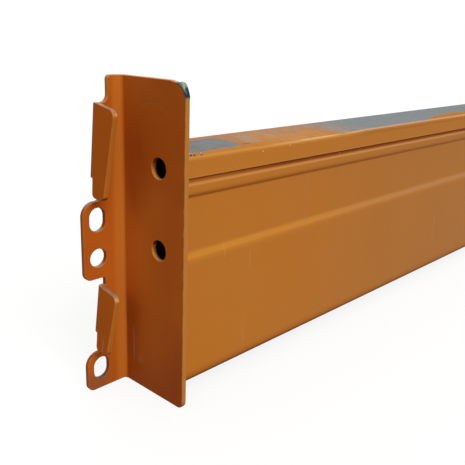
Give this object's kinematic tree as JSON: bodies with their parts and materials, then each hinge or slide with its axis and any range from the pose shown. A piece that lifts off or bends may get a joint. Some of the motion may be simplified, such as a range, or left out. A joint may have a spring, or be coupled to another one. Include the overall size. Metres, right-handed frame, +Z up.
{
  "type": "pallet rack beam",
  "caption": "Long steel box beam for pallet racking: two interlocked channels with a folded hook-in connector welded to each end.",
  "frame": {"origin": "half-way along the beam, in the middle of the connectors' depth, at the connectors' bottom edges", "axes": "+X along the beam, +Y towards the connector legs that lie on the uprights (the aisle side), +Z up"},
  "size_m": [2.7594, 0.0596, 0.2],
  "materials": {
    "beam_paint": "semi-gloss orange powder coat on roll-formed steel, rubbed to bare steel on top",
    "connector_paint": "semi-gloss orange powder coat on folded steel plate, chipped at one corner",
    "weld_paint": "painted-over fillet weld"
  },
  "bodies": {
    "root": {"inner_channel": "beam_paint", "outer_channel": "beam_paint", "left_connector": "connector_paint", "left_front_weld": "weld_paint", "left_rear_weld": "weld_paint", "left_bottom_weld": "weld_paint", "right_connector": "connector_paint", "right_front_weld": "weld_paint", "right_rear_weld": "weld_paint", "right_bottom_weld": "weld_paint"}
  },
  "joints": []
}
